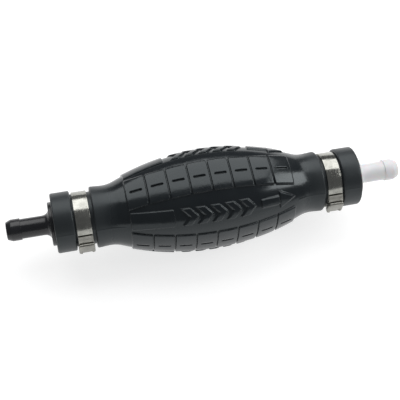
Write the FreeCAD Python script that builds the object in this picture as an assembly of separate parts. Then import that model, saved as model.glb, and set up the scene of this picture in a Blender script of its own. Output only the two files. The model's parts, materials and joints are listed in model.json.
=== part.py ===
import FreeCAD
import Part
import math
import os

# In-line siphon bulb pump for 3/8 in fuel hose.  Units: mm.
# X runs along the pump, inlet at -X, outlet at +X.  +Z is up, through the middle of one grip face.
# The origin is the bulb's centre, on the pump's axis.  All end features are given by their
# distance s from the mid-plane and are mirrored, except the two check valves, which both open to +X.

# ---- bulb -----------------------------------------------------------------------------------
BARREL_R = 24.8           # mean radius of the rubber surface at the mid-plane
BARREL_ARC = 130.0        # radius of the barrel's lengthwise arc
SQUARENESS = 0.032        # how far the section leaves a circle: flatter grip faces, fuller corners
S_SQUARE = 50.0           # from here outwards the section is a circle
S_FILLET = 46.5           # the barrel's arc turns into the neck here
S_NECK = 52.0             # slimmest place of the neck
NECK_R = 15.18
S_SHOULDER = 58.5         # neck's edge at the clamp groove
SHOULDER_R = 15.5
GROOVE_R = 13.2           # floor of the clamp groove
S_COLLAR = 68.5           # collar outside the clamp groove
COLLAR_R = 15.1
S_COLLAR_END = 78.3
COLLAR_ROUND = 0.9
NECK_BORE_R = 10.4        # rubber bore that the fittings plug into
WALL = 3.4                # rubber wall under the relief
S_CAVITY = 51.0           # the pumping chamber narrows to the neck bore here

# ---- raised relief --------------------------------------------------------------------------
RELIEF = 0.8
PANEL_HALF = 42.0         # half length of a grip panel
PANEL_H = 16.5            # height of a grip panel
BLOCKS = 8
BLOCK_GAP = 0.6
SLOT_LENGTH = 6.0          # the slot along the middle of every block
SLOT_W = 0.7
CHEVRONS = 5
CHEVRON_START = -17.0
CHEVRON_PITCH = 7.2
CHEVRON_W = 4.2
CHEVRON_LEAN = 4.0
STRIP_H = 8.7             # height of a flow arrow strip
SKIN = 0.3                # film that joins the blocks of the moving panel

# ---- fittings -------------------------------------------------------------------------------
S_PLUG = 53.0             # inner end of the plug
PLUG_RIB_R = 10.65        # sealing ribs bite into the rubber
FLANGE_R = 11.0
FLANGE_T = 1.8
STEM_R = 4.96
S_STEM = 83.4             # the concave flare ends here
FLARE_R0 = 7.7
S_BARB = 94.5
BARB_R = 5.45
BARB_LAND = 4.6           # cylindrical length of the barb's crest
S_TIP = 101.6
TIP_R = 4.7
PORT_R = 3.1              # flow bore behind the tip
GUIDE_R = 3.35            # bore that guides the poppet's fins
S_GUIDE_IN = 78.0         # port bore opens into the guide bore (inlet) or valve chamber (outlet)
CHAMBER_R = 8.0

# ---- check valves ---------------------------------------------------------------------------
SEAT_LIP_R = 4.5
SEAT_LIP_T = 0.9
SEAT_LIP_H = 0.5
POPPET_R = 6.0
POPPET_T = 1.5
SEAL_R = 5.6
SEAL_T = 1.0
FIN_R = 3.3               # running fit in the guide bore
FIN_L = 5.0
FIN_W = 1.0
HUB_R = 1.3
LIFT = 2.2
SPRING_COIL_R = 3.4
SPRING_WIRE_R = 0.3
SPRING_TURNS = 3.5
INLET_SEAT = 66.0         # the inlet seat lies in the plane x = -INLET_SEAT
OUTLET_SEAT = 59.0        # the outlet seat lies in the plane x = OUTLET_SEAT

# ---- clamps ---------------------------------------------------------------------------------
S_BAND = 64.0
BAND_W = 7.5
BAND_T = 0.45
BAND_LAP = 0.45           # the second wrap of the band
BUCKLE_W = 8.2
BUCKLE_REACH = 17.2
SADDLE_T = 0.6             # the pressed saddle on the band and its side lips
SADDLE_LOW = -4.35
SADDLE_HIGH = 2.4
LIP_FOLD = 1.5             # how far a lip's edge folds in over the tail
LIP_EDGE_T = 0.55
LUG_T = 0.48
LUG_KNOTS = [(1.3, 1.4), (3.1, 3.5), (0.9, 4.7), (-0.06, 6.4)]      # outside the groove, height
TAIL_T = 0.44              # the band's tail, folded inside the buckle
TAIL_OUT = 2.4
TAIL_FOLD_Z = 2.7
TAIL_END_Z = -4.3
SNUG = 0.05                # overlap that joins touching pieces of one solid

X_AXIS = FreeCAD.Vector(1, 0, 0)
ZERO = FreeCAD.Vector(0, 0, 0)


def v(x, y, z):
    return FreeCAD.Vector(x, y, z)


def barrel_radius(s):
    """Mean radius of the rubber surface between the two clamp grooves."""
    s = abs(s)
    slope = math.asin(S_FILLET / BARREL_ARC)
    start = BARREL_R - (BARREL_ARC - math.sqrt(BARREL_ARC ** 2 - S_FILLET ** 2))
    if s <= S_FILLET:
        return BARREL_R - (BARREL_ARC - math.sqrt(BARREL_ARC ** 2 - s * s))
    if s <= S_NECK:
        rho = (S_NECK - S_FILLET) / math.sin(slope)
        low = start - rho * (1 - math.cos(slope))
        return low + rho - math.sqrt(rho * rho - (S_NECK - s) ** 2)
    rho = (S_NECK - S_FILLET) / math.sin(slope)
    low = start - rho * (1 - math.cos(slope))
    t = (s - S_NECK) / (S_SHOULDER - S_NECK)
    return low + (SHOULDER_R - low) * t * t * (3 - 2 * t)


def section_radius(s, angle):
    """Radius of the section at s; angle is measured from the middle of a grip face."""
    k = max(0.0, 1 - (abs(s) / S_SQUARE) ** 2)
    return barrel_radius(s) * (1 - SQUARENESS * k * math.cos(4 * angle))


def section_wire(s, extra):
    pts = []
    for i in range(16):
        a = 2 * math.pi * i / 16
        r = section_radius(s, a) + extra
        pts.append(v(s, -r * math.cos(a), r * math.sin(a)))
    curve = Part.BSplineCurve()
    curve.interpolate(pts, PeriodicFlag=True)
    return Part.Wire([curve.toShape()])


def barrel_solid(extra, reach=S_SHOULDER):
    half = [12, 24, 34, 41, 45, 48, 50, 53, 56, S_SHOULDER]
    half = [h for h in half if h <= reach]
    stations = [-h for h in reversed(half)] + [0] + half
    return Part.makeLoft([section_wire(s, extra) for s in stations], True, False, False, 3)


def turned(points):
    """Solid of revolution about X from (x, r) points, closed in order."""
    pts = [v(x, 0, r) for x, r in points]
    face = Part.Face(Part.makePolygon(pts + [pts[0]]))
    return face.revolve(ZERO, X_AXIS, 360)


def tube(x0, x1, r_out, r_in):
    return turned([(x0, r_in), (x1, r_in), (x1, r_out), (x0, r_out)])


def rod(x0, x1, r):
    return Part.makeCylinder(r, abs(x1 - x0), v(min(x0, x1), 0, 0), X_AXIS)


def block(x0, x1, y0, y1, z0, z1):
    return Part.makeBox(x1 - x0, y1 - y0, z1 - z0, v(x0, y0, z0))


def prism(points, z0, z1):
    """Upright prism over a closed outline of (x, y) points."""
    pts = [v(x, y, z0) for x, y in points]
    face = Part.Face(Part.makePolygon(pts + [pts[0]]))
    return face.extrude(v(0, 0, z1 - z0))


def about_x(shape, degrees):
    out = shape.copy()
    out.rotate(ZERO, X_AXIS, degrees)
    return out


def mirrored(shape):
    return shape.mirror(ZERO, X_AXIS)


def union(shapes):
    return shapes[0].multiFuse(shapes[1:]) if len(shapes) > 1 else shapes[0]


def block_spans():
    pitch = 2 * PANEL_HALF / BLOCKS
    half = BLOCK_GAP / 2
    return [(-PANEL_HALF + i * pitch + half, -PANEL_HALF + (i + 1) * pitch - half)
            for i in range(BLOCKS)]


def panel_prisms():
    """The grip panel's blocks as plain prisms over the top face, each with a slot along its middle."""
    out = []
    h = PANEL_H / 2
    for x0, x1 in block_spans():
        low = section_radius(max(abs(x0), abs(x1)), 0) - 1.0
        mid = (x0 + x1) / 2
        slot = block(mid - SLOT_LENGTH / 2, mid + SLOT_LENGTH / 2, -SLOT_W / 2, SLOT_W / 2, low, 30)
        out.append(block(x0, x1, -h, h, low, 30).cut(slot))
    return out


def strip_prisms():
    """The flow arrow strip: a tail bar, a row of chevrons and an arrow, all pointing to +X."""
    h = STRIP_H / 2
    low = section_radius(PANEL_HALF, math.pi / 4) - 1.2
    out = [block(-41.5, -20.5, -h, h, low, 30)]
    for i in range(CHEVRONS):
        x0 = CHEVRON_START + CHEVRON_PITCH * i
        x1 = x0 + CHEVRON_W
        tip = x1 + CHEVRON_LEAN
        out.append(prism([(x0, -h), (x1, -h), (tip, 0), (x1, h), (x0, h), (x0 + CHEVRON_LEAN, 0)], 21.0, 30))
    out.append(block(23.0, 33.0, -h / 2, h / 2, 18.0, 30))
    out.append(prism([(33.0, -h), (33.0, h), (41.5, 0)], low, 30))
    return out


# ---- bulb and its moving grip panel -----------------------------------------------------------
skin = barrel_solid(0.0)
proud = barrel_solid(RELIEF, 50)
film = barrel_solid(SKIN, 50)
pads = proud.common(union(panel_prisms()))
strips = proud.common(about_x(union(strip_prisms()), 45))
bulb = skin.fuse([about_x(pads, a) for a in (90, 180, 270)]
                 + [about_x(strips, a) for a in (0, 90, 180, 270)])

end_profile = [(S_SHOULDER - 1.0, 0), (S_SHOULDER - 1.0, GROOVE_R), (S_COLLAR, GROOVE_R),
               (S_COLLAR, COLLAR_R), (S_COLLAR_END, COLLAR_R), (S_COLLAR_END, 0)]
neck = turned(end_profile)
rims = [e for e in neck.Edges
        if abs(e.BoundBox.ZMax - COLLAR_R) < 0.01 and e.BoundBox.XLength < 0.01]
neck = neck.makeFillet(COLLAR_ROUND, rims)
bulb = bulb.fuse([neck, mirrored(neck)])

chamber = [(0, 0), (0, BARREL_R - WALL)]
for s in (8, 16, 24, 32, 39, 44, 48):
    chamber.append((s, barrel_radius(s) - WALL))
chamber += [(S_CAVITY, NECK_BORE_R), (S_COLLAR_END + 1, NECK_BORE_R), (S_COLLAR_END + 1, 0)]
hollow_curve = Part.BSplineCurve()
hollow_curve.interpolate([v(x, 0, r) for x, r in
                          [(-p[0], p[1]) for p in reversed(chamber[1:9])] + chamber[2:9]])
lead = chamber[8]
outline = [hollow_curve.toShape(),
           Part.makePolygon([v(lead[0], 0, lead[1]), v(S_CAVITY, 0, NECK_BORE_R),
                             v(S_COLLAR_END + 1, 0, NECK_BORE_R), v(S_COLLAR_END + 1, 0, 0),
                             v(-S_COLLAR_END - 1, 0, 0), v(-S_COLLAR_END - 1, 0, NECK_BORE_R),
                             v(-S_CAVITY, 0, NECK_BORE_R), v(-lead[0], 0, lead[1])])]
edges = [outline[0]] + outline[1].Edges
hollow = Part.Face(Part.Wire(Part.__sortEdges__(edges))).revolve(ZERO, X_AXIS, 360)
bulb = bulb.cut(hollow)

# The top panel is a separate moving piece: its blocks are joined by a thin film, and the bulb
# has a shallow bed under it with a small gap all round.
panel_box = block(-PANEL_HALF, PANEL_HALF, -PANEL_H / 2, PANEL_H / 2, 10, 30)
panel = pads.fuse(film.common(panel_box)).cut(skin)
bed_box = block(-PANEL_HALF - 0.3, PANEL_HALF + 0.3, -PANEL_H / 2 - 0.3, PANEL_H / 2 + 0.3, 10, 30)
bulb = bulb.cut(bed_box.cut(barrel_solid(-0.3)))


# ---- fittings ---------------------------------------------------------------------------------
def fitting_outside():
    """Plug, sealing ribs, flange, flare, stem and barb, solid through, for the +X end."""
    s_face = S_COLLAR_END
    pts = [(S_PLUG, 0), (S_PLUG, NECK_BORE_R - 0.5), (S_PLUG + 0.5, NECK_BORE_R)]
    for s in (60.0, 64.0, 68.0):
        pts += [(s - 0.8, NECK_BORE_R), (s, PLUG_RIB_R), (s + 0.4, PLUG_RIB_R), (s + 0.5, NECK_BORE_R)]
    s_flat = s_face + FLANGE_T
    pts += [(s_face, NECK_BORE_R), (s_face, FLANGE_R), (s_flat - 0.5, FLANGE_R),
            (s_flat, FLANGE_R - 0.5), (s_flat, FLARE_R0)]
    for i in range(1, 9):
        a = math.pi / 2 * i / 8
        pts.append((S_STEM - (S_STEM - s_flat) * math.cos(a),
                    STEM_R + (FLARE_R0 - STEM_R) * (1 - math.sin(a))))
    pts += [(S_BARB, STEM_R), (S_BARB, BARB_R), (S_BARB + BARB_LAND, BARB_R), (S_TIP - 0.3, TIP_R),
            (S_TIP, TIP_R - 0.4), (S_TIP, 0)]
    return turned(pts)


def seat_lip(x, way):
    """Raised ring that the poppet's seal closes on; way is +1 if it stands towards +X."""
    r0 = SEAT_LIP_R - SEAT_LIP_T
    return tube(x - way * 0.2, x + way * SEAT_LIP_H, SEAT_LIP_R, r0)


# Inlet fitting, built at -X.  Its seat faces the bulb; the retainer snaps in behind the spring.
cage_x = -S_PLUG
inlet = mirrored(fitting_outside())
inlet = inlet.cut(rod(-S_TIP - 1, -S_GUIDE_IN, PORT_R))
inlet = inlet.cut(rod(-S_GUIDE_IN, -INLET_SEAT, GUIDE_R))
inlet = inlet.cut(rod(-INLET_SEAT, -S_PLUG + 1, CHAMBER_R))
inlet = inlet.fuse(seat_lip(-INLET_SEAT, 1))
snap = tube(-S_PLUG - 2.6, -S_PLUG - 1.6, CHAMBER_R + 0.5, CHAMBER_R - 0.5)
inlet = inlet.cut(snap)

# Outlet fitting, built at +X.  Its valve chamber is closed at the inner end by the seat insert.
outlet = fitting_outside()
outlet = outlet.cut(rod(S_GUIDE_IN - 7, S_TIP + 1, PORT_R))
outlet = outlet.cut(rod(S_PLUG - 1, S_GUIDE_IN - 7, CHAMBER_R))
outlet = outlet.cut(tube(S_PLUG + 2.6, S_PLUG + 3.6, CHAMBER_R + 0.5, CHAMBER_R - 0.5))


# ---- check valves -----------------------------------------------------------------------------
def poppet(x_seal):
    """Disc, spring spigot and four guide fins; x_seal is where the seal meets the disc."""
    disc = rod(x_seal, x_seal + POPPET_T, POPPET_R)
    spigot = turned([(x_seal + POPPET_T - 0.2, 0), (x_seal + POPPET_T - 0.2, 2.6),
                     (x_seal + POPPET_T + 1.2, 2.6), (x_seal + POPPET_T + 1.8, 2.0),
                     (x_seal + POPPET_T + 1.8, 0)])
    hub = rod(x_seal - SEAL_T - SEAT_LIP_H, x_seal + 0.2, 2.4)
    core = rod(x_seal - SEAL_T - SEAT_LIP_H - FIN_L, x_seal, HUB_R)
    fins = []
    for a in (0, 90):
        fin = block(x_seal - SEAL_T - SEAT_LIP_H - FIN_L, x_seal - SEAL_T - SEAT_LIP_H + 0.4,
                    -FIN_R, FIN_R, -FIN_W / 2, FIN_W / 2)
        fins.append(about_x(fin, a))
    guide = union(fins).common(rod(x_seal - 12, x_seal, FIN_R))
    return union([disc, spigot, hub, core, guide])


def seal_ring(x_seal):
    return tube(x_seal - SEAL_T, x_seal, SEAL_R, 2.4)


def spring(x0, x1):
    """Round-wire compression spring between two planes, with closed, squared ends."""
    length = x1 - x0 - 2 * SPRING_WIRE_R
    helix = Part.makeHelix(length / SPRING_TURNS, length, SPRING_COIL_R)
    start = v(SPRING_COIL_R, 0, 0)
    circle = Part.Wire([Part.makeCircle(SPRING_WIRE_R, start, v(0, 1, 0))])
    coil = Part.Wire(helix.Edges).makePipeShell([circle], True, True)
    coil.rotate(ZERO, v(0, 1, 0), 90)
    coil.translate(v(x0 + SPRING_WIRE_R, 0, 0))
    ends = [Part.makeTorus(SPRING_COIL_R, SPRING_WIRE_R, v(x, 0, 0), X_AXIS)
            for x in (x0 + SPRING_WIRE_R, x1 - SPRING_WIRE_R)]
    return union([coil] + ends)


inlet_seal_x = -INLET_SEAT + SEAT_LIP_H + SEAL_T
inlet_poppet = poppet(inlet_seal_x)
inlet_seal = seal_ring(inlet_seal_x)
inlet_spring = spring(inlet_seal_x + POPPET_T, -S_PLUG - 2.6)

# Retainer of the inlet spring: a ring with a snap bead, three spokes and a spring boss.
retainer = tube(-S_PLUG - 2.6, -S_PLUG - 0.4, CHAMBER_R, CHAMBER_R - 1.3)
retainer = retainer.fuse(tube(-S_PLUG - 2.5, -S_PLUG - 1.7, CHAMBER_R + 0.4, CHAMBER_R - 0.5))
boss = tube(-S_PLUG - 2.6, -S_PLUG - 0.4, 4.1, 1.6)
boss = boss.fuse(tube(-S_PLUG - 3.6, -S_PLUG - 2.5, 2.9, 1.6))
spokes = [about_x(block(-S_PLUG - 2.6, -S_PLUG - 0.6, -0.8, 0.8, 3.0, CHAMBER_R - 0.8), a)
          for a in (0, 120, 240)]
retainer = union([retainer, boss] + spokes)

# Outlet seat: a snap-in insert with an O-ring, a guide bore for the fins and the raised lip.
insert = tube(S_PLUG - 0.6, OUTLET_SEAT, CHAMBER_R, GUIDE_R)
insert = insert.fuse(tube(S_PLUG - 1.6, S_PLUG, CHAMBER_R + 1.2, GUIDE_R))
insert = insert.fuse(tube(S_PLUG + 2.7, S_PLUG + 3.5, CHAMBER_R + 0.4, CHAMBER_R - 0.5))
insert = insert.fuse(seat_lip(OUTLET_SEAT, 1))
insert = insert.cut(tube(S_PLUG + 0.8, S_PLUG + 2.2, CHAMBER_R + 1, CHAMBER_R - 1.0))
seat_oring = Part.makeTorus(CHAMBER_R - 0.35, 0.6, v(S_PLUG + 1.5, 0, 0), X_AXIS)

outlet_seal_x = OUTLET_SEAT + SEAT_LIP_H + SEAL_T
outlet_poppet = poppet(outlet_seal_x)
outlet_seal = seal_ring(outlet_seal_x)
outlet_spring = spring(outlet_seal_x + POPPET_T, S_GUIDE_IN - 7)


# ---- clamps -----------------------------------------------------------------------------------
def clamp_band():
    """Thin band wrapped twice; the outer wrap ends inside the buckle."""
    x0 = S_BAND - BAND_W / 2
    x1 = S_BAND + BAND_W / 2
    inner = tube(x0, x1, GROOVE_R + BAND_T, GROOVE_R)
    outer = tube(x0, x1, GROOVE_R + BAND_T + BAND_LAP, GROOVE_R + BAND_T - 0.05)
    gap = block(x0 - 1, x1 + 1, -20, 0, 2.2, 3.4)
    return inner.fuse(outer.cut(gap))


def lug_plate(half_width):
    """The buckle's lug: a hump from the saddle out to the folded tail and down to just above the band."""
    curve = Part.BezierCurve()
    curve.setPoles([v(0, -GROOVE_R - out, z) for out, z in LUG_KNOTS])
    sides = {1: [], -1: []}
    for t in (0, 0.2, 0.4, 0.6, 0.8, 1):
        along = curve.tangent(t)[0]
        across = v(0, -along.z, along.y) * (LUG_T / 2)
        for side, points in sides.items():
            points.append(curve.value(t) + across * side)
    edges = []
    for points in sides.values():
        face_curve = Part.BSplineCurve()
        face_curve.interpolate(points)
        edges.append(face_curve.toShape())
    for i in (0, -1):
        edges.append(Part.makeLine(sides[1][i], sides[-1][i]))
    outline = Part.Wire(Part.__sortEdges__(edges))
    plate = Part.Face(outline).extrude(v(2 * half_width, 0, 0))
    plate.translate(v(S_BAND - half_width, 0, 0))
    return plate


def folded_tail(half_width):
    """The band's tail inside the buckle: up, over its upper edge and back down outside."""
    x0 = S_BAND - half_width
    x1 = S_BAND + half_width
    y_in = -GROOVE_R - TAIL_OUT
    y_out = -BUCKLE_REACH + TAIL_T / 2
    radius = (y_in - y_out) / 2
    fold = tube(x0, x1, radius + TAIL_T / 2, radius - TAIL_T / 2)
    fold.translate(v(0, (y_in + y_out) / 2, TAIL_FOLD_Z))
    above = block(x0 - 1, x1 + 1, y_out - TAIL_T, y_in + TAIL_T, TAIL_FOLD_Z, TAIL_FOLD_Z + 2 * radius)
    legs = [block(x0, x1, y - TAIL_T / 2, y + TAIL_T / 2, TAIL_END_Z, TAIL_FOLD_Z) for y in (y_in, y_out)]
    return [fold.common(above)] + legs


def side_lip(edge, inward):
    """One side of the saddle: a wall standing out from it, its edge folded in over the tail."""
    r_out = GROOVE_R + BAND_T + BAND_LAP
    lip_y = -BUCKLE_REACH + SNUG
    wall = edge + inward * SADDLE_T
    fold = edge + inward * LIP_FOLD
    return [block(min(edge, wall), max(edge, wall), lip_y, -r_out, SADDLE_LOW, SADDLE_HIGH),
            block(min(edge, fold), max(edge, fold), lip_y, lip_y + LIP_EDGE_T, SADDLE_LOW, SADDLE_HIGH)]


def clamp_buckle():
    """Pressed buckle at -Y: a saddle with two folded side lips, its lug, and the band's folded tail."""
    r_out = GROOVE_R + BAND_T + BAND_LAP
    x0 = S_BAND - BUCKLE_W / 2
    x1 = S_BAND + BUCKLE_W / 2
    saddle = block(x0, x1, -r_out - SADDLE_T, -r_out, SADDLE_LOW, SADDLE_HIGH)
    tail = folded_tail(BUCKLE_W / 2 - SADDLE_T + SNUG)
    lug = lug_plate(BAND_W / 2 - SNUG)
    body = union([saddle, lug] + side_lip(x0, 1) + side_lip(x1, -1) + tail)
    return body.cut(rod(x0 - 1, x1 + 1, r_out))


band = clamp_band()
buckle = clamp_buckle()

nodes = {
    "squeeze_bulb": bulb,
    "grip_panel_top": panel,
    "inlet_fitting": inlet,
    "inlet_valve_poppet": inlet_poppet,
    "inlet_valve_seal": inlet_seal,
    "inlet_valve_spring": inlet_spring,
    "inlet_spring_retainer": retainer,
    "inlet_clamp_band": mirrored(band),
    "inlet_clamp_buckle": mirrored(buckle),
    "outlet_fitting": outlet,
    "outlet_valve_seat": insert,
    "outlet_seat_oring": seat_oring,
    "outlet_valve_poppet": outlet_poppet,
    "outlet_valve_seal": outlet_seal,
    "outlet_valve_spring": outlet_spring,
    "outlet_clamp_band": band,
    "outlet_clamp_buckle": buckle,
}

os.makedirs("parts", exist_ok=True)
for name, shape in nodes.items():
    shape.exportStep("parts/" + name + ".step")
    print(name, len(shape.Solids), shape.isValid(), round(shape.Volume, 2))
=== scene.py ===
"""A siphon bulb pump for 3/8 in fuel hose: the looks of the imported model.

Frame: X along the pump in the flow direction, +Z up through the top grip panel, metres.
Shapes are worked out in millimetres and written to the meshes in metres."""

import json
import math

import bpy
import numpy as np
from mathutils import Matrix, Vector


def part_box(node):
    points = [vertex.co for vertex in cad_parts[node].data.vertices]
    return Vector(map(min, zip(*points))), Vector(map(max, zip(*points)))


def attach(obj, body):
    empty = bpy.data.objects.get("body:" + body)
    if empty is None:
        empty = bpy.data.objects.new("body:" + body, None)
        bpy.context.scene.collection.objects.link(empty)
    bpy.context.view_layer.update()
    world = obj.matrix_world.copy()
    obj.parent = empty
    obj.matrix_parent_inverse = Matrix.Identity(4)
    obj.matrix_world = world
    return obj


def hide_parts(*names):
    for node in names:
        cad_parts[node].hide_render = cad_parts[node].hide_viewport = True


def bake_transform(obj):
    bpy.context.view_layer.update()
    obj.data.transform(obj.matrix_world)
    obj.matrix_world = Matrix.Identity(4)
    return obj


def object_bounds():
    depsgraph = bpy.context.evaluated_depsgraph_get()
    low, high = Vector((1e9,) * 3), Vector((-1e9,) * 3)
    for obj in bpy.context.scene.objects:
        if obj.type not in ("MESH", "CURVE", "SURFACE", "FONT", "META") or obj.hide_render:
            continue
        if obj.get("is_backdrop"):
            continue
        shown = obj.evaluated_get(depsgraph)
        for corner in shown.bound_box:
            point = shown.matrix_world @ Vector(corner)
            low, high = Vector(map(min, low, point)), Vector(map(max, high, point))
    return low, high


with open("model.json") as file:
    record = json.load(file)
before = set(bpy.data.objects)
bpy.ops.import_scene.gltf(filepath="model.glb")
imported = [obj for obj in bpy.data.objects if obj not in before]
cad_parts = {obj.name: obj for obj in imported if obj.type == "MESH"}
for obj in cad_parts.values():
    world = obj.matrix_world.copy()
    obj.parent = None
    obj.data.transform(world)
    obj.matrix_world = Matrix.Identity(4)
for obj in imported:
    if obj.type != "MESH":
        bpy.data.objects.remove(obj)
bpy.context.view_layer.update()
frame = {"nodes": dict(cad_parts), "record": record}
MM = 0.001

# ---- places taken from the frame, in mm --------------------------------------------------------


def node_mm(node):
    low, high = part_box(node)
    return [v / MM for v in low], [v / MM for v in high]


BULB_HIGH = node_mm("squeeze_bulb")[1]
PANEL_HIGH = node_mm("grip_panel_top")[1]
FIT_LOW, FIT_HIGH = node_mm("outlet_fitting")
BAND_LOW, BAND_HIGH = node_mm("outlet_clamp_band")
BUCKLE_LOW, BUCKLE_HIGH = node_mm("outlet_clamp_buckle")

# ---- the bulb, as in the CAD -------------------------------------------------------------------
RELIEF = 0.8
SQUARENESS = 0.032
BARREL_R = (PANEL_HIGH[2] - RELIEF) / (1 - SQUARENESS)
BARREL_ARC = 130.0
S_SQUARE = 50.0
S_FILLET = 46.5
S_NECK = 52.0
S_SHOULDER = 58.5
SHOULDER_R = 15.5
GROOVE_R = BAND_HIGH[1] - 0.9
S_COLLAR = 68.5
COLLAR_R = 15.1
S_COLLAR_END = BULB_HIGH[0]
NECK_BORE_R = 10.4
S_PLUG = FIT_LOW[0]
S_CAVITY = S_PLUG - 2
WALL = 3.4
BORE_LEAD = 0.3                    # the chamfer at each neck bore's mouth
SEAM_ANGLES = (math.radians(35), math.radians(215))
SEAM_H, SEAM_W = 0.10, 0.22        # the mould's parting lines on the necks

PANEL_HALF = PANEL_HIGH[0]
PANEL_HALF_H = PANEL_HIGH[1]
BLOCKS = 8
BLOCK_GAP = 0.6
SLOT_HALF, SLOT_HALF_W = 3.0, 0.35
STRIP_HALF_H = 4.35
BAR_START, BAR_END = -41.5, -20.5
SHAFT_START, SHAFT_END = 23.0, 33.0
CHEVRONS = 5
CHEVRON_START, CHEVRON_PITCH, CHEVRON_W, CHEVRON_LEAN = -17.0, 7.2, 4.2, 4.0
ARROW_HEAD = 8.5
BLOCK_CORNER, SLOT_CORNER = 0.5, 0.3
EDGE_IN, EDGE_OUT = 0.20, 0.12     # a relief edge rounds over this far inside and outside its line
EDGE_RINGS = 5                     # points across that slope
BARREL_END, RING_STEP = 43.4, 0.35

# ---- mesh helpers ------------------------------------------------------------------------------


def new_object(name, verts_mm, faces, material, smooth_angle=math.radians(35)):
    mesh = bpy.data.meshes.new(name)
    mesh.from_pydata((np.asarray(verts_mm) * MM).tolist(), [], faces)
    mesh.validate()
    mesh.update()
    mesh.shade_smooth()
    if smooth_angle:
        mesh.set_sharp_from_angle(angle=smooth_angle)
    mesh.materials.append(material)
    obj = bpy.data.objects.new(name, mesh)
    bpy.context.scene.collection.objects.link(obj)
    return obj


def grid_faces(rows, cols, wrap_rows=False):
    """Quads of a grid that closes around its columns, and around its rows if asked."""
    faces = []
    for i in range(rows if wrap_rows else rows - 1):
        a, b = i * cols, ((i + 1) % rows) * cols
        for j in range(cols):
            k = (j + 1) % cols
            faces.append((a + j, a + k, b + k, b + j))
    return faces


def capped(rows, count):
    """Faces of a tube of rings with count points each, with a cap at both ends."""
    last = (rows - 1) * count
    return grid_faces(rows, count) + [tuple(range(count))[::-1], tuple(range(last, last + count))]


def rounded(points, steps=6):
    """An open outline of (x, r, radius) corners as (x, r) points, its corners rounded."""
    out = []
    for i, (x, y, radius) in enumerate(points):
        here = Vector((x, y))
        if radius <= 0 or i in (0, len(points) - 1):
            out.append((x, y))
            continue
        before = (Vector(points[i - 1][:2]) - here).normalized()
        after = (Vector(points[i + 1][:2]) - here).normalized()
        half = before.angle(after) / 2
        cut = radius / math.tan(half)
        centre = here + (before + after).normalized() * radius / math.sin(half)
        a = here + before * cut - centre
        b = here + after * cut - centre
        turn = a.angle_signed(b)
        for k in range(steps + 1):
            p = centre + Matrix.Rotation(-turn * k / steps, 2) @ a
            out.append((p.x, p.y))
    return out


def lathe(name, outline, material, segments=160, way=1):
    """A closed outline of (x, r) points turned about X; way -1 mirrors it in X."""
    angles = np.linspace(0, 2 * math.pi, segments, endpoint=False)
    x = np.array([p[0] for p in outline])[:, None] * way + 0 * angles
    r = np.array([p[1] for p in outline])[:, None]
    verts = np.stack([x, r * np.sin(angles), r * np.cos(angles)], axis=-1).reshape(-1, 3)
    faces = grid_faces(len(outline), segments, wrap_rows=True)
    if way < 0:
        faces = [f[::-1] for f in faces]
    return new_object(name, verts, faces, material)


# ---- materials ---------------------------------------------------------------------------------


class Nodes:
    """A material's node tree with a Principled shader, and short calls to add to it."""

    def __init__(self, name, **sockets):
        self.material = bpy.data.materials.new(name)
        self.material.use_nodes = True
        self.tree = self.material.node_tree
        self.shader = self.tree.nodes["Principled BSDF"]
        for key, value in sockets.items():
            self.shader.inputs[key.replace("_", " ")].default_value = value
        coords = self.tree.nodes.new("ShaderNodeTexCoord")
        self.place = coords.outputs["Object"]

    def add(self, kind, **settings):
        node = self.tree.nodes.new(kind)
        for key, value in settings.items():
            setattr(node, key, value)
        return node

    def link(self, a, b):
        self.tree.links.new(a, b)

    def stretched(self, scale):
        node = self.add("ShaderNodeMapping")
        node.inputs["Scale"].default_value = scale
        self.link(self.place, node.inputs["Vector"])
        return node.outputs["Vector"]

    def noise(self, scale, detail=4.0, rough=0.5, vector=None):
        node = self.add("ShaderNodeTexNoise")
        node.inputs["Scale"].default_value = scale
        node.inputs["Detail"].default_value = detail
        node.inputs["Roughness"].default_value = rough
        self.link(vector or self.place, node.inputs["Vector"])
        return node.outputs["Fac"]

    def ramp(self, value, low, high, colour_a, colour_b):
        node = self.add("ShaderNodeValToRGB")
        node.color_ramp.elements[0].position = low
        node.color_ramp.elements[1].position = high
        node.color_ramp.elements[0].color = (*colour_a, 1)
        node.color_ramp.elements[1].color = (*colour_b, 1)
        self.link(value, node.inputs["Fac"])
        return node.outputs["Color"]

    def span(self, value, low, high, to_low, to_high):
        node = self.add("ShaderNodeMapRange")
        for key, number in (("From Min", low), ("From Max", high), ("To Min", to_low), ("To Max", to_high)):
            node.inputs[key].default_value = number
        self.link(value, node.inputs["Value"])
        return node.outputs["Result"]

    def maths(self, operation, a, b):
        node = self.add("ShaderNodeMath", operation=operation)
        for socket, value in zip(node.inputs, (a, b)):
            if isinstance(value, (int, float)):
                socket.default_value = value
            else:
                self.link(value, socket)
        return node.outputs["Value"]

    def mixed(self, fac, colour_a, colour_b):
        node = self.add("ShaderNodeMix", data_type="RGBA")
        self.link(fac, node.inputs["Factor"])
        a, b = [s for s in node.inputs if s.type == "RGBA"]
        for socket, value in ((a, colour_a), (b, colour_b)):
            if isinstance(value, tuple):
                socket.default_value = (*value, 1)
            else:
                self.link(value, socket)
        return [s for s in node.outputs if s.type == "RGBA"][0]

    def attribute(self, name):
        return self.add("ShaderNodeAttribute", attribute_name=name).outputs["Fac"]

    def bump(self, height, distance, strength=1.0, on=None):
        node = self.add("ShaderNodeBump")
        node.inputs["Distance"].default_value = distance
        node.inputs["Strength"].default_value = strength
        self.link(height, node.inputs["Height"])
        if on:
            self.link(on, node.inputs["Normal"])
        return node.outputs["Normal"]

    def drive(self, **links):
        for key, output in links.items():
            self.link(output, self.shader.inputs[key.replace("_", " ")])
        return self.material


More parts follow.
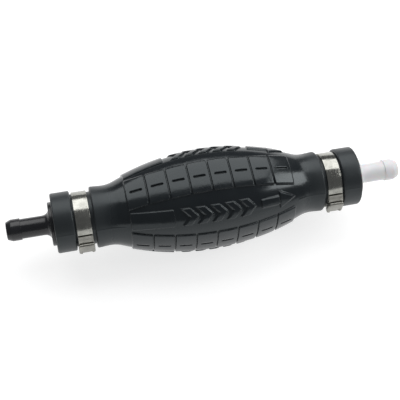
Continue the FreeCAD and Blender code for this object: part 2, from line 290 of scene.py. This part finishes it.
def bulb_rubber():
    """Moulded rubber: glossy on the barrel and satin on the necks, a little worn along the relief."""
    m = Nodes("bulb_rubber", IOR=1.46, Specular_Tint=(0.90, 0.98, 1.0, 1))
    satin, edge = m.attribute("satin"), m.attribute("edge")
    blotch = m.noise(55, 5, 0.55)
    grain = m.noise(1800, 3, 0.6)
    dust = m.noise(420, 6, 0.7)
    glossy = m.ramp(blotch, 0.3, 0.75, (0.0085, 0.0108, 0.0130), (0.0130, 0.0158, 0.0180))
    base = m.mixed(satin, glossy, (0.0190, 0.0222, 0.0245))
    worn = m.maths("MULTIPLY", edge, m.span(dust, 0.42, 0.7, 0.0, 0.8))
    colour = m.mixed(worn, base, (0.022, 0.024, 0.026))
    rough = m.maths("ADD", m.span(blotch, 0.3, 0.7, 0.13, 0.19), m.maths("MULTIPLY", satin, 0.24))
    rough = m.maths("ADD", rough, m.maths("MULTIPLY", worn, 0.25))
    rough = m.maths("ADD", rough, m.span(grain, 0.3, 0.7, -0.015, 0.02))
    waves = m.bump(m.noise(70, 3, 0.5), 0.0006, 0.35)
    return m.drive(Base_Color=colour, Roughness=rough, Normal=m.bump(grain, 0.00003, 0.45, waves))


def plastic(name, dark, light, rough, **sockets):
    """Moulded plastic: slight blotches, flow marks along the pump and a fine grain."""
    m = Nodes(name, IOR=1.5, **sockets)
    blotch = m.noise(120, 4, 0.55)
    flow = m.noise(260, 4, 0.6, m.stretched((0.35, 1, 1)))
    grain = m.noise(2600, 2, 0.5)
    colour = m.ramp(blotch, 0.3, 0.7, dark, light)
    roughness = m.maths("ADD", m.span(flow, 0.3, 0.7, rough - 0.05, rough + 0.06),
                        m.span(grain, 0.3, 0.7, -0.01, 0.02))
    normal = m.bump(grain, 0.00002, 0.3, m.bump(flow, 0.00012, 0.35))
    return m.drive(Base_Color=colour, Roughness=roughness, Normal=normal)


def steel(name, base, rough, streak=(1, 0.02, 0.02)):
    """Rolled stainless steel: fine lines along the strip, blotches and a few scuffs."""
    m = Nodes(name, Metallic=1.0)
    lines = m.noise(2400, 3, 0.6, m.stretched(streak))
    blotch = m.noise(190, 5, 0.6)
    scuff = m.noise(650, 6, 0.72)
    tone = m.ramp(blotch, 0.34, 0.66, tuple(0.70 * c for c in base), base)
    marks = m.span(scuff, 0.55, 0.68, 0.0, 0.65)
    colour = m.mixed(marks, tone, tuple(0.45 * c for c in base))
    roughness = m.maths("ADD", m.span(lines, 0.3, 0.7, rough - 0.04, rough + 0.08),
                        m.maths("MULTIPLY", marks, 0.3))
    normal = m.bump(lines, 0.00002, 0.4, m.bump(blotch, 0.00025, 0.35))
    return m.drive(Base_Color=colour, Roughness=roughness, Normal=normal)


RUBBER = bulb_rubber()
INLET_PLASTIC = plastic("inlet_plastic", (0.008, 0.0085, 0.0105), (0.013, 0.0138, 0.016), 0.24)
OUTLET_PLASTIC = plastic("outlet_plastic", (0.69, 0.69, 0.70), (0.76, 0.76, 0.77), 0.36,
                         Subsurface_Weight=0.25, Subsurface_Scale=0.002)
VALVE_PLASTIC = plastic("valve_plastic", (0.62, 0.61, 0.56), (0.72, 0.71, 0.66), 0.38)
VALVE_RUBBER = plastic("valve_rubber", (0.012, 0.012, 0.012), (0.022, 0.021, 0.021), 0.55)
BAND_STEEL = steel("clamp_steel", (0.43, 0.43, 0.395), 0.15)
BUCKLE_STEEL = steel("buckle_steel", (0.34, 0.335, 0.305), 0.33, (0.3, 0.3, 1))
SPRING_STEEL = steel("spring_steel", (0.66, 0.66, 0.66), 0.24, (1, 1, 1))

# ---- the bulb ----------------------------------------------------------------------------------


def barrel_radius(s):
    """Mean radius of the rubber between the clamp grooves, for an array of distances s >= 0."""
    s = np.asarray(s, float)
    slope = math.asin(S_FILLET / BARREL_ARC)
    rho = (S_NECK - S_FILLET) / math.sin(slope)
    start = BARREL_R - (BARREL_ARC - math.sqrt(BARREL_ARC ** 2 - S_FILLET ** 2))
    low = start - rho * (1 - math.cos(slope))
    arc = BARREL_R - (BARREL_ARC - np.sqrt(BARREL_ARC ** 2 - np.minimum(s, S_FILLET) ** 2))
    fillet = low + rho - np.sqrt(rho ** 2 - np.clip(S_NECK - s, 0, S_NECK - S_FILLET) ** 2)
    t = np.clip((s - S_NECK) / (S_SHOULDER - S_NECK), 0, 1)
    flare = low + (SHOULDER_R - low) * t * t * (3 - 2 * t)
    return np.where(s <= S_FILLET, arc, np.where(s <= S_NECK, fillet, flare))


def box_distance(x, y, x0, x1, y0, y1, corner):
    """Signed distance to a rounded rectangle, negative inside."""
    qx = np.abs(x - (x0 + x1) / 2) - (x1 - x0) / 2 + corner
    qy = np.abs(y - (y0 + y1) / 2) - (y1 - y0) / 2 + corner
    return np.hypot(np.maximum(qx, 0), np.maximum(qy, 0)) + np.minimum(np.maximum(qx, qy), 0) - corner


def panel_distance(x, y):
    """The grip panel's row of blocks, each with a slot along its middle."""
    pitch = 2 * PANEL_HALF / BLOCKS
    best = np.full(np.broadcast(x, y).shape, 9.0)
    for i in range(BLOCKS):
        mid = -PANEL_HALF + (i + 0.5) * pitch
        half = (pitch - BLOCK_GAP) / 2
        d = box_distance(x, y, mid - half, mid + half, -PANEL_HALF_H, PANEL_HALF_H, BLOCK_CORNER)
        slot = box_distance(x, y, mid - SLOT_HALF, mid + SLOT_HALF, -SLOT_HALF_W, SLOT_HALF_W, SLOT_CORNER)
        best = np.minimum(best, np.maximum(d, -slot))
    return best


def strip_distance(x, y):
    """The flow arrow strip: a tail bar, a row of chevrons and an arrow, all pointing to +X."""
    h = STRIP_HALF_H
    best = box_distance(x, y, BAR_START, BAR_END, -h, h, BLOCK_CORNER)
    slant = 1 / math.hypot(1, CHEVRON_LEAN / h)
    across = np.abs(y) / h
    for i in range(CHEVRONS):
        left = CHEVRON_START + CHEVRON_PITCH * i + CHEVRON_LEAN * (1 - across)
        d = np.maximum(np.maximum((left - x) * slant, (x - left - CHEVRON_W) * slant), np.abs(y) - h)
        best = np.minimum(best, d)
    best = np.minimum(best, box_distance(x, y, SHAFT_START, SHAFT_END, -h / 2, h / 2, SLOT_CORNER))
    slant = 1 / math.hypot(1, ARROW_HEAD / h)
    d = np.maximum(SHAFT_END - x, (x - SHAFT_END - ARROW_HEAD * (1 - across)) * slant)
    return np.minimum(best, d)


def relief_height(x, radius, turn):
    """Height of the raised relief and how near its edge a point is; turn is from a face's middle."""
    face = (turn + math.pi / 4) % (math.pi / 2) - math.pi / 4
    corner = turn % (math.pi / 2) - math.pi / 4
    d = np.minimum(panel_distance(x, radius * np.sin(face)), strip_distance(x, radius * np.sin(corner)))
    t = np.clip((EDGE_OUT - d) / (EDGE_IN + EDGE_OUT), 0, 1)
    return RELIEF * t * t * (3 - 2 * t), np.exp(-((d + 0.1) / 0.35) ** 2)


def ramp_places(edge):
    """Places across a relief edge's slope, for an edge of raised rubber that ends there."""
    return np.linspace(edge - EDGE_IN, edge + EDGE_OUT, EDGE_RINGS)


def turns(s):
    """Angles of a ring's points at s: fine across the relief's edges, the same count everywhere."""
    radius = float(barrel_radius(min(abs(s), PANEL_HALF)))
    slot = 2 * SLOT_HALF_W - ramp_places(SLOT_HALF_W)[::-1]
    panel = np.concatenate([[0], slot, np.arange(1.0, 7.8, 0.7), ramp_places(PANEL_HALF_H)])
    strip = np.concatenate([np.arange(0, STRIP_HALF_H - 0.3, 0.34), ramp_places(STRIP_HALF_H)])
    panel = np.arcsin(panel / radius)
    strip = math.pi / 4 - np.arcsin(strip / radius)[::-1]
    between = np.linspace(panel[-1], strip[0], 7)[1:-1]
    half = np.concatenate([panel, between, strip])
    face = np.concatenate([-half[:0:-1], half[:-1]])
    return np.concatenate([face + q * math.pi / 2 for q in range(4)])


def relief_ends():
    """(x, way) of each relief edge that runs round the barrel; way points to its low side."""
    pitch = 2 * PANEL_HALF / BLOCKS
    ends = []
    for i in range(BLOCKS + 1):
        line = -PANEL_HALF + i * pitch
        ends += [(line - BLOCK_GAP / 2, 1), (line + BLOCK_GAP / 2, -1)]
    for i in range(BLOCKS):
        mid = -PANEL_HALF + (i + 0.5) * pitch
        ends += [(mid - SLOT_HALF, 1), (mid + SLOT_HALF, -1)]
    return ends + [(BAR_START, -1), (BAR_END, 1), (SHAFT_START, -1), (SHAFT_END, 1)]


def barrel_stations():
    """Places of the rings along the barrel: even steps, with close rings across each relief edge."""
    ends = relief_ends()
    clear = EDGE_IN + EDGE_OUT
    least_gap = 0.03
    even = np.arange(-BARREL_END, BARREL_END + 0.01, RING_STEP)
    at = [x for x in even if all(abs(x - end) > clear for end, _ in ends)]
    for end, way in ends:
        at += [end + way * (k * clear / (EDGE_RINGS - 1) - EDGE_IN) for k in range(EDGE_RINGS)]
    at.sort()
    kept = at[:1]
    for x in at[1:]:
        if x - kept[-1] > least_gap:
            kept.append(x)
    return kept


def skin_rows():
    """(x, radius, on the barrel) of each ring of the bulb's outside, from the inlet's rim."""
    flare_end = S_SHOULDER - 0.9
    rim = [(flare_end, float(barrel_radius(flare_end)), 0), (S_SHOULDER, SHOULDER_R, 0.7),
           (S_SHOULDER, GROOVE_R, 0.25), (S_COLLAR, GROOVE_R, 0.25), (S_COLLAR, COLLAR_R, 0.9),
           (S_COLLAR_END, COLLAR_R, 0.9), (S_COLLAR_END, NECK_BORE_R + BORE_LEAD, 0.0)]
    end = rounded(rim, 5)
    dense = []
    for (x0, r0), (x1, r1) in zip(end, end[1:]):
        pieces = max(1, int(math.hypot(x1 - x0, r1 - r0) / 1.5))
        dense += [(x0 + (x1 - x0) * k / pieces, r0 + (r1 - r0) * k / pieces) for k in range(pieces)]
    dense.append(end[-1])
    neck = [(s, float(barrel_radius(s))) for s in np.arange(44.0, 57.5, 0.8)]
    outer = [(s, r, False) for s, r in neck + dense]
    left = [(-s, r, False) for s, r, _ in reversed(outer)]
    middle = [(s, float(barrel_radius(abs(s))), True) for s in barrel_stations()]
    return left + middle + outer


def bulb_skin():
    """The bulb's outside as one mesh, with how satin and how near a relief edge each point is."""
    rows = skin_rows()
    verts, satin, edge = [], [], []
    for x, radius, barrel in rows:
        turn = turns(x)
        k = max(0.0, 1 - (abs(x) / S_SQUARE) ** 2)
        r = radius * (1 - SQUARENESS * k * np.cos(4 * turn))
        near = np.zeros_like(turn)
        if barrel:
            height, near = relief_height(x, r, turn)
            r = r + height
        else:
            for seam in SEAM_ANGLES:
                off = (turn - seam + math.pi) % (2 * math.pi) - math.pi
                r = r + SEAM_H * np.exp(-(off * radius / SEAM_W) ** 2)
        verts.append(np.stack([np.full_like(r, x), -r * np.cos(turn), r * np.sin(turn)], axis=-1))
        edge.append(near)
        satin.append(np.full_like(turn, np.clip((abs(x) - 46) / 10, 0, 1)))
    cols = len(verts[0])
    faces = [f[::-1] for f in grid_faces(len(rows), cols)]
    skin = new_object("bulb_skin", np.concatenate(verts), faces, RUBBER, None)
    for name, values in (("satin", satin), ("edge", edge)):
        data = skin.data.attributes.new(name, "FLOAT", "POINT")
        data.data.foreach_set("value", np.concatenate(values).astype(np.float32))
    return skin


def bulb_lining():
    """The pumping chamber's wall and the two neck bores, met by the skin at the collars' faces."""
    half = [(0, BARREL_R - WALL)] + [(s, float(barrel_radius(s)) - WALL) for s in np.arange(4, 46, 3)]
    half += [(48.0, float(barrel_radius(48)) - WALL), (S_CAVITY, NECK_BORE_R),
             (S_COLLAR_END - BORE_LEAD, NECK_BORE_R), (S_COLLAR_END, NECK_BORE_R + BORE_LEAD)]
    outline = [(-x, r) for x, r in reversed(half[1:])] + half
    angles = np.linspace(0, 2 * math.pi, 128, endpoint=False)
    x = np.array([p[0] for p in outline])[:, None] + 0 * angles
    r = np.array([p[1] for p in outline])[:, None]
    verts = np.stack([x, -r * np.cos(angles), r * np.sin(angles)], axis=-1).reshape(-1, 3)
    return new_object("bulb_lining", verts, grid_faces(len(outline), len(angles)), RUBBER)


def make_bulb():
    skin = bulb_skin()
    lining = bulb_lining()
    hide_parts("squeeze_bulb", "grip_panel_top")
    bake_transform(skin)
    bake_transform(lining)


# ---- fittings ----------------------------------------------------------------------------------
FLANGE_R, FLANGE_T = FIT_HIGH[1], 1.8
STEM_R, FLARE_R, S_STEM = 4.96, 7.7, 83.4
S_BARB, BARB_R, BARB_LAND, TIP_R = 94.5, 5.45, 4.6, 4.7
PORT_R, GUIDE_R, CHAMBER_R = 3.1, 3.35, 8.0
S_TIP = FIT_HIGH[0]
BARB_RINGS = (60.0, 64.0, 68.0)    # ridges that hold the plug in the neck
OUTLET_CHAMBER_END = 71.0
INLET_GUIDE_END, INLET_SEAT = 78.0, 66.0
LIP_R, LIP_T, LIP_H = 4.5, 0.9, 0.5
SNAP_OUTLET, SNAP_INLET = 2.6, 1.6     # start of the groove that a snap-in piece clicks into


def fitting_outside():
    """Outline of a fitting's outside as (x, r, radius), from the plug's end to the barb's tip."""
    face = S_COLLAR_END + FLANGE_T
    out = [(S_PLUG, CHAMBER_R, 0), (S_PLUG, NECK_BORE_R, 0.5)]
    for s in BARB_RINGS:
        out += [(s - 0.8, NECK_BORE_R, 0), (s, NECK_BORE_R + 0.25, 0.1), (s + 0.5, NECK_BORE_R, 0)]
    out += [(S_COLLAR_END, NECK_BORE_R, 0), (S_COLLAR_END, FLANGE_R, 0.15), (face, FLANGE_R, 0.5),
            (face, FLARE_R, 0.2)]
    for i in range(1, 15):
        a = math.pi / 2 * i / 15
        along = S_STEM - (S_STEM - face) * math.cos(a)
        out.append((along, STEM_R + (FLARE_R - STEM_R) * (1 - math.sin(a)), 0))
    out += [(S_STEM, STEM_R, 0), (S_BARB, STEM_R, 0.12), (S_BARB, BARB_R, 0.12),
            (S_BARB + BARB_LAND, BARB_R, 0.8), (S_TIP, TIP_R - 0.3, 0.35), (S_TIP, PORT_R, 0.3)]
    return out


def snap_groove(start):
    """The groove in the chamber's wall, from its far end back to start behind the plug's end."""
    x0, x1 = S_PLUG + start, S_PLUG + start + 1
    r = CHAMBER_R + 0.5
    return [(x1, CHAMBER_R, 0), (x1, r, 0.05), (x0, r, 0.05), (x0, CHAMBER_R, 0)]


def outlet_inside():
    step = [(OUTLET_CHAMBER_END, PORT_R, 0.2), (OUTLET_CHAMBER_END, CHAMBER_R, 0.2)]
    return step + snap_groove(SNAP_OUTLET)


def inlet_inside():
    """The inlet's guide bore, its seat with a raised lip, and the chamber."""
    lip_in = LIP_R - LIP_T
    lip_end = INLET_SEAT - LIP_H
    return [(INLET_GUIDE_END, PORT_R, 0), (INLET_GUIDE_END, GUIDE_R, 0.1), (INLET_SEAT, GUIDE_R, 0.05),
            (INLET_SEAT, lip_in, 0.05), (lip_end, lip_in, 0.1), (lip_end, LIP_R, 0.1),
            (INLET_SEAT, LIP_R, 0.05), (INLET_SEAT, CHAMBER_R, 0.2)] + snap_groove(SNAP_INLET)


def make_fittings():
    for side, inside, material, way in (("outlet", outlet_inside(), OUTLET_PLASTIC, 1),
                                        ("inlet", inlet_inside(), INLET_PLASTIC, -1)):
        piece = lathe(side + "_barb_fitting", rounded(fitting_outside() + inside), material, way=way)
        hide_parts(side + "_fitting")
        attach(piece, "pump_body")


# ---- valve springs -----------------------------------------------------------------------------
WIRE_R, SPRING_TURNS = 0.3, 3.5
CLOSED_TURNS = 1                   # at each end of the coil


def make_spring(side):
    """A compression spring with closed ends, between the fitting and its poppet."""
    low, high = node_mm(side + "_valve_spring")
    coil_r = high[1] - WIRE_R
    x0, x1 = low[0] + WIRE_R, high[0] - WIRE_R
    steps, around = 300, 14
    total = SPRING_TURNS + 2 * CLOSED_TURNS
    path = []
    for i in range(steps + 1):
        turn = total * i / steps
        rise = min(1.0, max(0.0, (turn - CLOSED_TURNS) / SPRING_TURNS))
        a = 2 * math.pi * turn
        path.append(Vector((x0 + (x1 - x0) * rise, coil_r * math.cos(a), coil_r * math.sin(a))))
    verts = []
    for i, p in enumerate(path):
        along = (path[min(i + 1, steps)] - path[max(i - 1, 0)]).normalized()
        out = Vector((0, p.y, p.z)).normalized()
        side_way = along.cross(out)
        for k in range(around):
            a = 2 * math.pi * k / around
            verts.append(p + (out * math.cos(a) + side_way * math.sin(a)) * WIRE_R)
    spring = new_object(side + "_spring_coil", verts, capped(steps + 1, around), SPRING_STEEL)
    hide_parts(side + "_valve_spring")
    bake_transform(spring)


# ---- clamps ------------------------------------------------------------------------------------
BAND_MID = (BAND_LOW[0] + BAND_HIGH[0]) / 2
BAND_W = BAND_HIGH[0] - BAND_LOW[0]
STRAP_T, STRAP_CORNER = 0.44, 0.12
BUCKLE_W = BUCKLE_HIGH[0] - BUCKLE_LOW[0]
BUCKLE_REACH = -BUCKLE_LOW[1]
TAIL_OUT, TAIL_LOW, TAIL_FOLD_Z = 2.40, -4.6, 2.7
LUG_T = 0.48
LUG_KNOTS = [(1.3, 1.4), (3.1, 3.5), (0.9, 4.7), (-0.06, 6.4)]      # outside the groove, height
SADDLE_T, LIP_FOLD, LIP_EDGE_T = 0.62, 1.5, 0.55
SADDLE_LEVELS = [(-4.35, 0.25), (-4.2, 0.08), (-3.95, 0), (-2, 0), (0, 0), (1.2, 0), (2.0, 0), (2.25, 0.08),
                 (2.4, 0.25)]       # height, inset of the section there


def strap(name, way, path, width, thickness, material):
    """A strip of steel of rounded section along a path of (y, z) points, capped at both ends."""
    path = [Vector(p) for p in path]
    w, t = width / 2, thickness / 2
    c = STRAP_CORNER
    outline = [(0, -t, 0), (-w, -t, c), (-w, t, c), (0, t + 0.02, 0), (w, t, c), (w, -t, c), (0, -t, 0)]
    section = rounded(outline, 3)[:-1]
    verts = []
    for i, p in enumerate(path):
        a = path[max(i - 1, 0)]
        b = path[min(i + 1, len(path) - 1)]
        along = (b - a).normalized()
        out = Vector((along.y, -along.x))
        for across, up in section:
            q = p + out * up
            verts.append((way * (BAND_MID + across), q.x, q.y))
    faces = capped(len(path), len(section))
    if way < 0:
        faces = [f[::-1] for f in faces]
    return new_object(name, verts, faces, material, math.radians(40))


def ring_path(radius, start, end, steps):
    """Points round the neck from one angle to another, in degrees from -Y towards +Z."""
    out = []
    for i in range(steps + 1):
        a = math.radians(start + (end - start) * i / steps)
        out.append((-radius * math.cos(a), radius * math.sin(a)))
    return out


def tail_path():
    """The band's tail: up through the buckle, folded over its upper edge and back down outside it."""
    y_in, y_out = -(GROOVE_R + TAIL_OUT), -(BUCKLE_REACH - STRAP_T / 2)
    mid, r = (y_in + y_out) / 2, (y_in - y_out) / 2
    path = [(y_in, TAIL_LOW + 0.45 * k) for k in range(17)]
    for k in range(15):
        a = math.pi * k / 14
        path.append((mid + r * math.cos(a), TAIL_FOLD_Z + r * math.sin(a)))
    path += [(y_out + 0.004 * k * k, TAIL_FOLD_Z - 0.5 * (k + 1)) for k in range(14)]
    return path


def lug_path():
    """The buckle's lug: a hump from the saddle out to the folded tail and down to just above the band."""
    knots = [Vector((-GROOVE_R - out, z)) for out, z in LUG_KNOTS]
    path = []
    for k in range(25):
        t = k / 24
        a, b, c = [knots[i].lerp(knots[i + 1], t) for i in range(3)]
        path.append(tuple(a.lerp(b, t).lerp(b.lerp(c, t), t)))
    return path


def buckle_saddle(side, way):
    """A pressed saddle under the tail, with its two side lips folded up and over the tail's edges."""
    half, t, y0 = BUCKLE_W / 2 - 0.05, SADDLE_T, GROOVE_R + 1.02
    lip = BUCKLE_REACH - 0.10
    under, fold = lip - LIP_EDGE_T, half - LIP_FOLD
    wall = half - t
    outline = [(-fold, under, 0), (-fold, lip, 0.2), (-half, lip, 0.8), (-half, y0, 0.5), (half, y0, 0.5),
               (half, lip, 0.8), (fold, lip, 0.2), (fold, under, 0.1), (wall, under, 0.25),
               (wall, y0 + t, 0.3), (-wall, y0 + t, 0.3), (-wall, under, 0.25), (-fold, under, 0)]
    section = rounded(outline, 4)[:-1]
    middle = (y0 + lip) / 2
    verts = []
    for z, inset in SADDLE_LEVELS:
        for x, y in section:
            k = 1 - inset / half
            verts.append((way * (BAND_MID + x * k), -(middle + (y - middle) * (1 - inset / 3)), z))
    faces = capped(len(SADDLE_LEVELS), len(section))
    if way > 0:
        faces = [f[::-1] for f in faces]
    return new_object(side + "_buckle_saddle", verts, faces, BUCKLE_STEEL, math.radians(40))


def make_clamp(side, way):
    """A band of two wraps, the second from inside the buckle, with its tail, the lug and the saddle."""
    wide = BAND_W - 0.1
    inner, outer = ring_path(GROOVE_R + 0.23, 3, 357, 177), ring_path(GROOVE_R + 0.68, -9, 345, 177)
    wrap_in = strap(side + "_band_inner_wrap", way, inner, wide, STRAP_T, BAND_STEEL)
    wrap_out = strap(side + "_band_outer_wrap", way, outer, wide, STRAP_T, BAND_STEEL)
    tail = strap(side + "_band_tail", way, tail_path(), BAND_W - 0.6, STRAP_T, BUCKLE_STEEL)
    lug = strap(side + "_buckle_lug", way, lug_path(), wide, LUG_T, BUCKLE_STEEL)
    saddle = buckle_saddle(side, way)
    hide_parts(side + "_clamp_band")
    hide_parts(side + "_clamp_buckle")
    for piece in (wrap_in, wrap_out, tail, lug, saddle):
        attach(piece, "pump_body")


def dress_cad():
    """Materials for the CAD nodes that show as they are."""
    looks = {"valve_plastic": VALVE_PLASTIC, "valve_rubber": VALVE_RUBBER}
    for part in frame["record"]["subparts"]:
        if part["material_slot"] in looks:
            obj = frame["nodes"][part["node"]]
            for slot in obj.material_slots:
                slot.material = looks[part["material_slot"]]


# ---- stage, lights and camera --------------------------------------------------------------------
VIEW_AZIMUTH, VIEW_ELEVATION, VIEW_ROLL = -17.68, 60.84, 9.2
CAMERA_DISTANCE = 0.4845
LENS, SENSOR = 85.5, 36.0
AIM = Vector((-0.0036, 0, 0))


def view_frame(azimuth, elevation, roll):
    """Axes of a camera that looks at the object from there, rolled so that +X rises to the right."""
    az, el = math.radians(azimuth), math.radians(elevation)
    back = Vector((math.sin(az) * math.cos(el), -math.cos(az) * math.cos(el), math.sin(el)))
    along = (Vector((1, 0, 0)) - back * back.x).normalized()
    up = back.cross(along)
    tilt = math.radians(roll)
    right = along * math.cos(tilt) - up * math.sin(tilt)
    above = along * math.sin(tilt) + up * math.cos(tilt)
    return Matrix((right, above, back)).transposed(), back


def add_area(name, place, aim, size, power):
    light = bpy.data.lights.new(name, "AREA")
    light.shape = "RECTANGLE"
    light.size, light.size_y = size
    light.energy = power
    obj = bpy.data.objects.new(name, light)
    obj.location = place
    obj.rotation_euler = (Vector(aim) - Vector(place)).to_track_quat("-Z", "Y").to_euler()
    bpy.context.scene.collection.objects.link(obj)


def make_stage(low):
    m = Nodes("floor_paper", IOR=1.3, Roughness=0.9, Emission_Color=(1, 1, 1, 1), Emission_Strength=0.74)
    tone = m.ramp(m.noise(6, 3), 0.3, 0.7, (0.46, 0.46, 0.46), (0.50, 0.50, 0.50))
    grain = m.bump(m.noise(900, 3), 0.0001, 0.2)
    m.drive(Base_Color=tone, Normal=grain)
    size = 1600.0
    z = low / MM
    verts = [(-size, -size, z), (size, -size, z), (size, size, z), (-size, size, z)]
    new_object("floor", verts, [(0, 1, 2, 3)], m.material, None)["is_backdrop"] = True


def make_lights():
    world = bpy.data.worlds.new("studio")
    world.use_nodes = True
    world.node_tree.nodes["Background"].inputs["Color"].default_value = (0.95, 0.97, 1.0, 1)
    world.node_tree.nodes["Background"].inputs["Strength"].default_value = 0.16
    bpy.context.scene.world = world
    add_area("softbox_back", (0.0, 0.36, 0.46), (0, 0, 0), (0.9, 0.55), 3.6)
    add_area("card_front", (0.0, -0.55, 0.08), (0, 0, 0), (1.2, 0.16), 0.55)
    add_area("softbox_right", (0.42, 0.0, 0.33), (0.05, 0, 0), (0.30, 0.22), 1.0)


def make_camera():
    """A perspective camera at the photograph's viewing angle."""
    data = bpy.data.cameras.new("photo_view")
    data.lens, data.sensor_width = LENS, SENSOR
    data.clip_start = 0.01
    cam = bpy.data.objects.new("photo_view", data)
    turn, back = view_frame(VIEW_AZIMUTH, VIEW_ELEVATION, VIEW_ROLL)
    cam.matrix_world = Matrix.Translation(AIM + back * CAMERA_DISTANCE) @ turn.to_4x4()
    bpy.context.scene.collection.objects.link(cam)
    bpy.context.scene.camera = cam


make_bulb()
make_fittings()
for side, way in (("inlet", -1), ("outlet", 1)):
    make_clamp(side, way)
    make_spring(side)
dress_cad()
make_stage(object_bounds()[0][2])
make_lights()
make_camera()
bpy.context.scene.view_settings.view_transform = "Standard"
